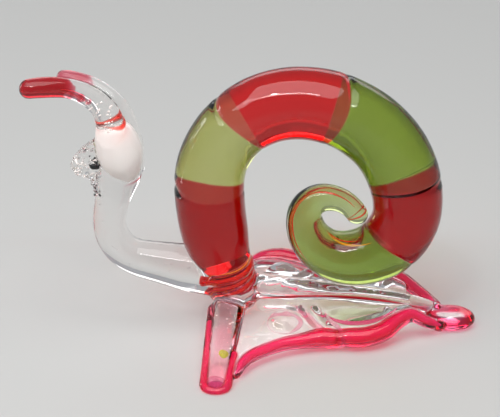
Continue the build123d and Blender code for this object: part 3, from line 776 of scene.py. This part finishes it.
def rim_rows(name):
    """Rows (x, y, z, radius) of a rim."""
    side, rows = RIMS[name]
    line = [(ROOT_X + FOOT_LENGTH * along, side * HALF_WIDTH * out, KEEL_Z * up, RIM_RADIUS * thick)
            for along, out, up, thick in rows]
    if name == "front_left":
        line[:3] = NEAR_RIM_START
    return np.array(line)


def ridge(x, y, start, end, height, width):
    """A round ridge on a sheet, along a straight line from start to end that fades at both ends."""
    start, end = np.array(start), np.array(end)
    run = (end - start) / np.linalg.norm(end - start)
    along = ((x - start[0]) * run[0] + (y - start[1]) * run[1]) / np.linalg.norm(end - start)
    off = (x - start[0]) * run[1] - (y - start[1]) * run[0]
    return height * np.exp(-(off / width) ** 2) * np.clip(1.6 * np.sin(math.pi * np.clip(along, 0, 1)), 0, 1)


def relief(x, y):
    """Height of the windows, each height * exp(-distance ** 4), and of the folds, on top of a sheet."""
    windows = sum(height * np.exp(-(((x - middle[0]) / half[0]) ** 2 + ((y - middle[1]) / half[1]) ** 2) ** 2)
                  for height, middle, half in WINDOWS)
    return windows + sum(ridge(x, y, *fold) for fold in FOLDS)


def web_skin(side, name):
    """A sheet of the skirt from the keel out to the rims, a rounded slab with slow waves across it."""
    rows = np.array(RIMS[f"front_{name}"][1] + RIMS[f"rear_{name}"][1][1:])
    rows = rows[np.argsort(rows[:, 0])]
    along = np.linspace(-0.03, 0.72, 70)
    held = np.maximum(along, rows[0, 0])
    out = HALF_WIDTH * np.interp(held, rows[:, 0], rows[:, 1])
    up = KEEL_Z * np.interp(held, rows[:, 0], rows[:, 2])
    x = ROOT_X + FOOT_LENGTH * along
    keel_line = keel.points(np.linspace(0, keel.length, 200))
    inner_z = np.interp(x, keel_line[:, 0], keel_line[:, 2])
    columns = 44
    share = np.concatenate([np.linspace(0, 1, columns), np.linspace(1, 0, columns)])
    face = np.repeat([1.0, -1.0], columns)
    inner_y = 0.6
    y = inner_y + (out[:, None] - inner_y) * share
    z = inner_z[:, None] + (up - inner_z)[:, None] * share
    wave = 0.16 * np.sin(TAU * (share * 1.6 + along[:, None] * 2.1)) * np.sin(math.pi * share)
    half_thickness = 0.5 - 0.12 * np.sin(math.pi * share)
    grid_x = np.broadcast_to(x[:, None], y.shape)
    top = (0.5 + 0.5 * face) * relief(grid_x, y) * np.sin(math.pi * share) ** 0.5
    z = z + wave + face * half_thickness + top
    return surface(np.stack([grid_x, side * y, z], -1))


def foot_skin():
    """Legs, sheets, and the clear cover of every rim."""
    shapes = []
    for side, name in SIDES:
        leg_cover = rod(leg_line(side), columns=28, uneven=0.03, seed=31)
        shapes += [leg_skin(side), web_skin(side, name), leg_cover]
        for part in ("front", "rear"):
            shapes.append(rod(smooth_line(rim_rows(f"{part}_{name}"), 90), columns=32, uneven=0.03, seed=33))
    return shapes


def take_modified(item):
    """Replaces a piece's mesh by what its modifiers make of it."""
    bpy.context.view_layer.update()
    item.data = bpy.data.meshes.new_from_object(item.evaluated_get(bpy.context.evaluated_depsgraph_get()))
    item.modifiers.clear()


def melt(name, shapes, voxel, passes):
    """One closed skin round overlapping closed shapes: a voxel remesh, then a light smoothing."""
    item = make(name, shapes)
    remesh = item.modifiers.new("melt", "REMESH")
    remesh.mode, remesh.voxel_size, remesh.use_smooth_shade = "VOXEL", voxel * MM, True
    smooth = item.modifiers.new("polish", "SMOOTH")
    smooth.factor, smooth.iterations = 0.5, passes
    take_modified(item)
    item.data.name = name
    return item


def carve(item, tool_shape):
    """Cuts the closed tool shape out of a piece."""
    tool = make("seat", [tool_shape])
    cut = item.modifiers.new("cut", "BOOLEAN")
    cut.operation, cut.object, cut.solver = "DIFFERENCE", tool, "EXACT"
    take_modified(item)
    bpy.data.objects.remove(tool)
    item.data.set_sharp_from_angle(angle=math.radians(50))


def crimp(item, middle, reach, depth):
    """Pinches the skin near a place with four crossing waves, and keeps all of it above the floor."""
    place, normal = (np.empty(len(item.data.vertices) * 3, np.float32) for _ in range(2))
    item.data.vertices.foreach_get("co", place)
    item.data.vertices.foreach_get("normal", normal)
    place, normal = place.reshape(-1, 3), normal.reshape(-1, 3)
    near = np.exp(-(((place / MM - middle) / reach) ** 2).sum(1) ** 2)
    lift = sum(np.sin((place / MM) @ np.array(wave) + phase) for wave, phase in (
        ((7.3, 2.1, 1.4), 0.4), ((-1.9, 3.2, 6.8), 1.9), ((4.4, -5.1, 5.0), 3.1), ((-5.6, 1.2, 4.9), 5.0)))
    place += (normal.T * near * lift).T * depth * MM
    place[:, 2] = np.maximum(place[:, 2], 0)
    item.data.vertices.foreach_set("co", place.ravel())
    item.data.update()
    item.data.shade_smooth()


clear = [*root_skin(), *head_skin(), snout_skin(), *tentacle_skin(), *tail_skin(), *foot_skin()]
skin = melt("glass_clear_body", clear, voxel=0.2, passes=6)
for first, last in (SEAM_SHARES[:2], CURL_SEAT):
    seat = np.linspace(first, last, 60) * coil.length
    carve(skin, tube(coil.points(seat), tube_radius(seat) + 0.03, ACROSS, columns=72, ends="flat"))
crimp(skin, middle=(-21.2, 0, 22.0), reach=(2.6, 3.0, 4.2), depth=0.065)
dress(skin, CLEAR, "clear_glass", "neck_rod", "head_gather", "snout", "tentacle_left", "tentacle_right",
      "root_gather", "keel_rod", "tail_lobe", "front_leg_left", "front_leg_right", "web_left", "web_right")

# Coloured rims: each tapers at its outer end and stops short of the next one
for part in ("front_left", "front_right", "rear_left", "rear_right"):
    line = rim_rows(part)
    share = np.linspace(0, 1, 90)
    if part.startswith("front"):
        line[-1, 0] -= 0.7
    else:
        line[0, 0] += 0.7
        share = share[::-1]
    line = smooth_line(line, 90)
    line[:, 3] *= np.clip(0.35 + share / 0.16, 0, 1)
    rim = rod(line, 0.86, columns=28, uneven=0.05, seed=41)
    piece(f"glass_rim_{part}", rim, PINK_CORE, "pink_glass", f"rim_{part}")
    # A painted glow along the rim's heart, for the hot pink of light gathered in it
    heart = rod(line + (0, 0, 0.12, 0), 0.42, columns=20, uneven=0.16, seed=47)
    piece(f"glass_rim_painted_glow_{part}", heart, PINK_PAINTED_GLOW, "pink_glass", f"rim_{part}")
for side, name in SIDES:
    rim = rod(leg_line(side), 0.92, columns=24, uneven=0.06, seed=43)
    piece(f"glass_leg_rim_{name}", rim, HOT_PINK_CORE, "pink_glass", f"leg_rim_{name}")
    # A painted glow along the heart of the leg's rim
    heart = rod(leg_line(side)[8:], 0.5, columns=20, uneven=0.18, seed=49)
    piece(f"glass_leg_rim_painted_glow_{name}", heart, PINK_PAINTED_GLOW, "pink_glass", f"leg_rim_{name}")

# Root: red threads, each with a painted glow along its heart and a painted amber glint, round a pink core
for number, (share, tilt) in enumerate(THREADS, 1):
    radius = tube_radius([share * coil.length])[0]
    node = f"root_thread_{number}"
    ring = loop(coil, share, radius - 0.05, 0.40, tilt, rise=0.25)
    piece(f"glass_{node}", ring, RED_CORE, "red_glass", node)
    heart = loop(coil, share, radius - 0.05, 0.17, tilt, rise=0.25, swell=0.6, thick_at=2.6)
    piece(f"glass_root_thread_painted_glow_{number}", heart, RED_PAINTED_GLOW, "red_glass", node)
    glint = loop(coil, share + 0.011, radius - 0.15, 0.16, tilt, rise=0.28, swell=0.5, thick_at=4.4)
    piece(f"glass_root_painted_glint_{number}", glint, AMBER_PAINTED_GLINT, "orange_glass", node)
places = np.linspace(1.2, SEAM_SHARES[0] * coil.length - 0.1, 30)
heart = swept(coil, places, 0.62 * tube_radius(places) * np.linspace(0.35, 1.15, 30), 48)
piece("glass_root_heart", heart, PALE_PINK_CORE, "pink_glass", "root_gather")

# Tentacle tips: the left one trails a drip along its underside. The left base has a collar
places = np.linspace(LEFT_TIP_SHARE, 1, 40)
taper = np.minimum(1, 0.35 + (places - LEFT_TIP_SHARE) * 9)
radii = LEFT_RADIUS * blend(LEFT_SHARES, places) * 0.90 * taper
tip = tube(left.points(places * left.length - TIP_INSET), radii, ACROSS, columns=32, uneven=0.04, seed=51)
places = np.linspace(0.47, 0.70, 24)
line = left.at(places) + (0.28, -0.35, -0.62)
drip = tube(line, 0.34 + 0.16 * np.sin(places * 60), ACROSS, columns=20, uneven=0.1, seed=53)
dress(make("glass_tentacle_tip_left", [tip, drip]), DARK_CORE, "dark_red_glass", "tentacle_tip_left")
places = np.linspace(RIGHT_TIP_SHARE, 1, 30)
taper = np.minimum(1, 0.3 + (places - RIGHT_TIP_SHARE) * 10)
radii = RIGHT_RADIUS * blend(RIGHT_SHARES, places) * 0.86 * taper
tip = tube(right.at(places), radii, ACROSS, columns=32, uneven=0.05, seed=52)
piece("glass_tentacle_tip_right", tip, PALE_PINK_CORE, "pink_glass", "tentacle_tip_right")
collar = loop(left, 0.10, LEFT_RADIUS * 1.45 - 0.25, 0.27, 0, rise=0.30, swell=0.75, thick_at=0.3)
piece("glass_tentacle_collar_left", collar, ORANGE_CORE, "orange_glass", "tentacle_collar_left")

# Head: a white drop in the gather, a painted highlight, and the pink line of its weld to the neck
drop = ellipsoid((-17.25, 0.1, 24.6), (2.35, 2.1, 3.75), lean=12, uneven=0.03, seed=55)
piece("glass_head_painted_highlight", drop, HEAD_PAINTED_HIGHLIGHT, "clear_glass", "head_gather")
sweep = np.radians(np.linspace(-75, 25, 40))
line = stack(-17.3 + 2.62 * np.cos(sweep), 2.62 * np.sin(sweep), 20.9 + 0.55 * np.sin((sweep + 1.3) * 0.9))
weld = tube(line, 0.10 * np.sin(np.linspace(0.4, 2.7, 40)), columns=14)
piece("glass_neck_weld_line", weld, PINK_THREAD, "pink_glass", "neck_rod")


def ring_round(centre, reach, fat, columns, tall=1.0, rise=0.0):
    """A level ring: a circle of its thickness, tall times as high, carried round an oval of its reach.

    Thickness and reach may change with the angle, and a sine of the angle tips the ring by its rise.
    """
    around, second = all_round(len(fat))[:, None], all_round(columns)[None]
    return ring_surface(stack(centre[0] + (reach[0] + fat * np.cos(second)) * np.cos(around),
                              centre[1] + (reach[1] + fat * np.cos(second)) * np.sin(around),
                              centre[2] + fat * np.sin(second) * tall + rise * np.sin(around)))


def thread(name, material, slot, columns, *rows):
    """A thread in the near sheet, on a smooth line through rows (x, y, z, radius)."""
    shape = rod(smooth_line(rows, 60), columns=columns, uneven=0.08, seed=71)
    piece(f"glass_{name}_left", shape, material, slot, "web_left")


# Near sheet: a pink ring in the first window, thickest at its upper right as a painted highlight of the
# window's edge, a pale green lens in the long one as a painted reflection, and threads in the folds
(ring_x, ring_y), (lens_x, lens_y) = (middle for height, middle, half in WINDOWS)
around = all_round(60)[:, None]
wobble = 1 + 0.12 * np.sin(2 * around + 0.6) + 0.06 * np.sin(3 * around)
fat = 0.06 + 0.30 * (0.5 + 0.5 * np.cos(around - 0.5)) ** 2
ring = ring_round((ring_x, -ring_y, 2.95), (1.95 * wobble, 1.50 * wobble), fat, 14, rise=0.6)
piece("glass_window_ring_left", ring, PINK_HAZE, "pink_glass", "web_left")
thread("window_crease", PINK_HAZE, "pink_glass", 24,
       (5.2, -3.4, 4.0, 0.10), (6.6, -4.8, 3.3, 0.42), (8.0, -6.3, 2.5, 0.50), (9.2, -7.6, 1.9, 0.30))
lens = ellipsoid((lens_x, -lens_y, 3.45), (4.6, 1.5, 0.34), rows=16, columns=40, uneven=0.05, seed=73)
piece("glass_window_painted_reflection_left", lens, GREEN_REFLECTION_LENS, "green_glass", "web_left")
thread("keel_line", PINK_THREAD, "pink_glass", 16,
       (-0.6, -2.4, 4.6, 0.05), (3.0, -2.1, 4.75, 0.16), (8.0, -1.8, 4.8, 0.14), (13.0, -1.7, 4.5, 0.2),
       (18.0, -1.6, 3.8, 0.14), (21.0, -1.4, 3.0, 0.06))
thread("fold_line", PINK_HAZE, "dark_red_glass", 16,
       (8.6, -4.0, 3.8, 0.05), (9.8, -5.4, 3.1, 0.30), (10.7, -6.8, 2.5, 0.42), (11.3, -8.1, 1.8, 0.34))
# A painted glow along the edge of the long window
thread("window_edge", PINK_PAINTED_GLOW, "pink_glass", 16,
       (8.8, -4.6, 3.4, 0.08), (11.5, -5.9, 3.1, 0.26), (14.5, -5.8, 3.1, 0.30), (17.4, -4.2, 3.3, 0.22),
       (18.4, -2.8, 3.4, 0.08))

# Legs: a blush along the near one, a flush in both tips and a green spot, a painted reflection
places = np.linspace(0.12, 0.93, 30)
blush = tube(leg_route(-1).at(places), 0.55 + 0.35 * np.sin(places * 9) ** 2, flat=(0.8, 1.5), seed=75)
piece("glass_leg_blush_left", blush, BLUSH, "pink_glass", "front_leg_left")
for side, name in SIDES:
    tip = leg_route(side).points([leg_route(side).length + 0.15])[0]
    flush = ellipsoid(tip + (0, 0, 0.1), (1.2, 1.3, 0.36), rows=14, columns=28, uneven=0.15, seed=76)
    piece(f"glass_leg_tip_flush_{name}", flush, PINK_HAZE, "pink_glass", f"front_leg_{name}")
spot = ellipsoid((-4.1, -12.6, 2.1), (0.5, 0.8, 0.3), rows=14, columns=24, uneven=0.2, seed=74)
piece("glass_green_painted_reflection_left", spot, GREEN_PAINTED_REFLECTION, "green_glass", "front_leg_left")

# Tail lobe: a pink ring under its rim
fat = 0.62 * (1 + 0.18 * np.sin(all_round(72)[:, None] * 2 + 0.7))
ring = ring_round((LOBE_X, LOBE_Y, 1.05), (2.45, 1.92), fat, 20, tall=1.1)
piece("glass_tail_lobe_ring", ring, PINK_CORE, "pink_glass", "tail_lobe")

# Bubbles and flecks, each set drawn in turn from the same dice. The white bubbles are painted highlights
dice = np.random.default_rng(11)


def bubbles(name, centres, radii, material, slot, node):
    """Small closed balls. Latitude and longitude are their parameters."""
    polar, turn = np.linspace(0, math.pi, 8)[1:-1, None], all_round(12)[None]
    ball = stack(np.sin(polar) * np.cos(turn), np.sin(polar) * np.sin(turn), np.cos(polar))
    shapes = [surface(centre + radius * ball, (centre + (0, 0, radius), centre - (0, 0, radius)))
              for centre, radius in zip(np.asarray(centres, float), radii)]
    dress(make(name, shapes, 180), material, slot, node)


def seeds(name, route, count, span, spread, sizes, material, node, shift=(0, 0, 0)):
    """Bubbles strewn along a route."""
    share = dice.uniform(*span, count)
    line = route.at(share) + dice.uniform(-1, 1, (count, 3)) * spread + shift
    bubbles(name, line, dice.uniform(*sizes, count), material, "clear_glass", node)


count, highlight_from = 70, 25
share = dice.uniform(0, 1, (count, 2))
inside = np.stack([-19.4 - 3.3 * share[:, 0], dice.uniform(-0.8, 0.8, count),
                   22.4 + (share[:, 1] - 0.5) * (5.6 - 4.2 * share[:, 0])], -1)
size = dice.uniform(0.07, 0.21, count)
bubbles("glass_snout_bubbles", inside[:highlight_from], size[:highlight_from], AIR, "clear_glass", "snout")
bubbles("glass_snout_bubble_highlights", inside[highlight_from:], size[highlight_from:], WHITE_PAINTED_HIGHLIGHT, "clear_glass", "snout")
seeds("glass_tentacle_bubble_highlights", left, 26, (0.05, 0.42), 0.8, (0.05, 0.16), WHITE_PAINTED_HIGHLIGHT, "tentacle_left")
seeds("glass_neck_seeds", neck, 34, (0.05, 0.95), 1.3, (0.03, 0.09), AIR, "neck_rod")
seeds("glass_keel_seeds", keel, 60, (0.08, 0.9), 0.6, (0.03, 0.10), AIR, "keel_rod", (0, -0.6, 0))
count = 7
flecks = np.stack([dice.uniform(*span, count) for span in ((-20.6, -19.6), (-1.0, -0.6), (18.9, 20.6))], -1)
seeds("glass_leg_bubble_highlights", leg_route(-1), 22, (0.15, 0.9), (1.1, 0.3, 0.45), (0.04, 0.13), WHITE_PAINTED_HIGHLIGHT,
      "front_leg_left")
bubbles("glass_throat_flecks", flecks, dice.uniform(0.10, 0.19, count), RED_CORE, "red_glass", "snout")

# Eyes: small uneven drops on the pinched faces of the snout
for side, name in SIDES:
    low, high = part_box(f"eye_{name}")
    x, _, z = [(low[axis] + high[axis]) / 2 / MM for axis in range(3)]
    middle = np.array((x - 0.15, side * 1.42, z + 0.05))
    dot = ellipsoid(middle, (0.66, 0.22, 0.36), lean=-12, rows=18, columns=28, uneven=0.2, seed=61)
    smear = ellipsoid(middle + (0.42, side * 0.02, 0.16), (0.34, 0.16, 0.2), lean=10, rows=12, columns=18,
                      uneven=0.2, seed=62)
    dress(make(f"glass_eye_{name}", [dot, smear]), BLACK, "black_glass", f"eye_{name}")


# Stage
def seen(tree):
    """1 where a ray comes from the camera, straight or by way of glass, and 0 for the light on the object."""
    path = add_node(tree, "ShaderNodeLightPath").outputs
    value = path["Is Camera Ray"]
    for kind in ("Is Glossy Ray", "Is Transmission Ray"):
        value = add_node(tree, "ShaderNodeMath", value, path[kind], operation="MAXIMUM").outputs[0]
    return value


def sweep_paper(code, near, far):
    """Matt pale paper that keeps its colour from near to far, in metres, where the lamps fall off."""
    material, tree = new_material("matt_pale_paper_sweep")
    lit = add_node(tree, "ShaderNodeBsdfPrincipled", Base_Color=linear(code), Roughness=0.75)
    even = add_node(tree, "ShaderNodeEmission", Color=linear(code), Strength=1.0)
    place = add_node(tree, "ShaderNodeTexCoord").outputs["Object"]
    away = add_node(tree, "ShaderNodeVectorMath", place, operation="LENGTH")
    fade = add_node(tree, "ShaderNodeMapRange", interpolation_type="SMOOTHSTEP", Value=away.outputs["Value"],
                    From_Min=near, From_Max=far)
    share = add_node(tree, "ShaderNodeMath", fade.outputs[0], seen(tree), operation="MULTIPLY")
    mix = add_node(tree, "ShaderNodeMixShader", share.outputs[0], lit.outputs[0], even.outputs[0])
    add_node(tree, "ShaderNodeOutputMaterial", Surface=mix.outputs[0])
    return material


FLOOR_REACH = 3
floor_mesh = bpy.data.meshes.new("floor")
floor_mesh.from_pydata([(-FLOOR_REACH, -FLOOR_REACH, 0), (FLOOR_REACH, -FLOOR_REACH, 0),
                        (FLOOR_REACH, FLOOR_REACH, 0), (-FLOOR_REACH, FLOOR_REACH, 0)], [], [(0, 1, 2, 3)])
floor_mesh.materials.append(sweep_paper("ccccca", 0.10, 0.45))
floor = bpy.data.objects.new("floor", floor_mesh)
bpy.context.scene.collection.objects.link(floor)

world = bpy.data.worlds.new("studio")
bpy.context.scene.world = world
world.use_nodes = True
sky = world.node_tree.nodes["Background"]
sky.inputs["Color"].default_value = (0.66, 0.68, 0.72, 1)
LIGHT_LEVEL, SEEN_EXTRA = 0.20, 0.34  # strength of the sky as light, and what it gains where it is seen
level = add_node(world.node_tree, "ShaderNodeMath", seen(world.node_tree), SEEN_EXTRA, LIGHT_LEVEL,
                 operation="MULTIPLY_ADD")
world.node_tree.links.new(level.outputs[0], sky.inputs["Strength"])

# Softboxes that look at the object: place and size in metres, and power in watts
OBJECT_MIDDLE = np.array((0, 0, 0.015))
for name, place, size, power in (
        ("overhead", (-0.03, -0.12, 0.40), (0.46, 0.34), 1.45),
        ("strip", (-0.04, -0.23, 0.33), (0.26, 0.014), 0.22),
        ("key", (-0.20, -0.16, 0.26), (0.08, 0.08), 0.08),
        ("spark", (-0.10, -0.22, 0.36), (0.03, 0.03), 0.12),
        ("side", (-0.40, 0.16, 0.09), (0.10, 0.16), 0.25),
        ("back", (0.05, 0.36, 0.20), (0.50, 0.12), 0.28)):
    data = bpy.data.lights.new(name, "AREA")
    data.shape, data.size, data.size_y, data.energy = "RECTANGLE", size[0], size[1], power
    lamp = bpy.data.objects.new(name, data)
    lamp.location = place
    lamp.rotation_euler = Vector(OBJECT_MIDDLE - place).to_track_quat("-Z", "Y").to_euler()
    bpy.context.scene.collection.objects.link(lamp)

# Camera: 25 degrees above the side view, 220 mm away, 7.76 pixels to the millimetre in a frame 500 wide
ELEVATION, DISTANCE = math.radians(25), 0.220
FRAME_PIXELS, PIXELS_PER_MM, SENSOR = 500, 7.76, 36
camera_data = bpy.data.cameras.new("camera")
camera = bpy.data.objects.new("camera", camera_data)
bpy.context.scene.collection.objects.link(camera)
target = np.array((-0.00075, 0, 0.0166))
away = np.array((0, -math.cos(ELEVATION), math.sin(ELEVATION)))
camera.location = target + away * DISTANCE
camera.rotation_euler = (math.pi / 2 - ELEVATION, 0, 0)
camera_data.sensor_fit = "HORIZONTAL"
camera_data.sensor_width = SENSOR
camera_data.lens = SENSOR * PIXELS_PER_MM * DISTANCE / MM / FRAME_PIXELS
camera_data.clip_start = 0.005
bpy.context.scene.camera = camera
bpy.context.scene.view_settings.view_transform = "Standard"
